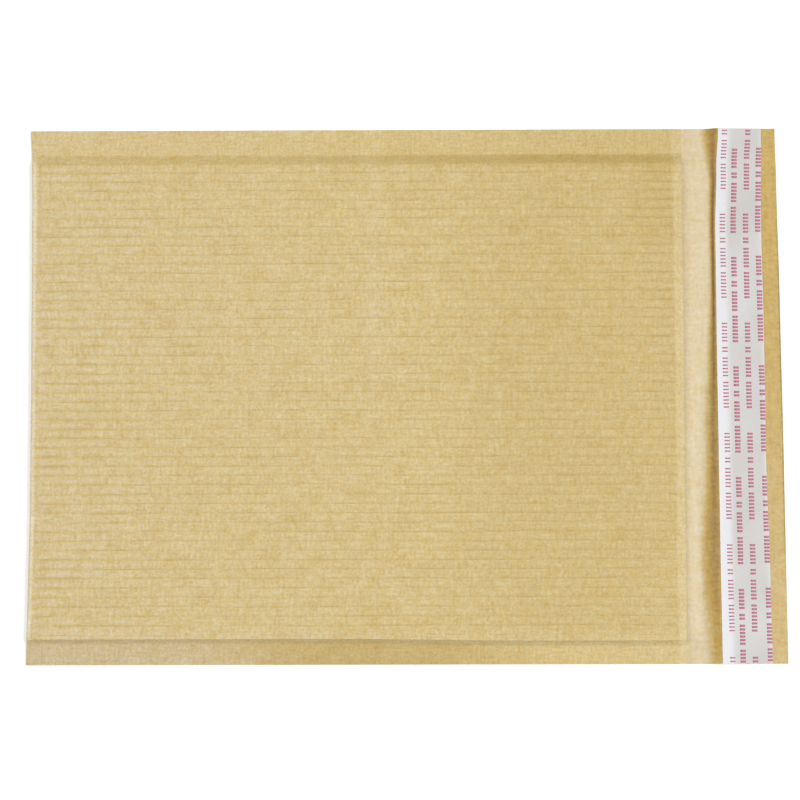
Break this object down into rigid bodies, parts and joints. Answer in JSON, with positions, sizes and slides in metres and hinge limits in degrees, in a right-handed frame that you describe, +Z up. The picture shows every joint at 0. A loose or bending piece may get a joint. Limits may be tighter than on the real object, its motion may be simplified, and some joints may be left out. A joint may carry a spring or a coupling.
{
  "type": "cardboard mailer",
  "caption": "Flat kraft paper mailer with a fluted paper lining, glued side seams, and an open self-seal flap under its release liner.",
  "frame": {"origin": "middle of the bounding box at the floor under the back panel", "axes": "+X from the closed fold towards the flap, +Y across the mailer, +Z up out of the front panel"},
  "size_m": [0.32, 0.23, 0.0046],
  "materials": {
    "kraft_paper": "matte kraft paper with faint fibres",
    "fluting_paper": "matte fluted medium",
    "adhesive": "clear tacky adhesive film",
    "release_liner": "white siliconed paper, satin"
  },
  "bodies": {
    "root": {"kraft_sheet": "kraft_paper", "fluted_lining": "fluting_paper", "adhesive_strip": "adhesive", "release_liner": "release_liner"}
  },
  "joints": []
}
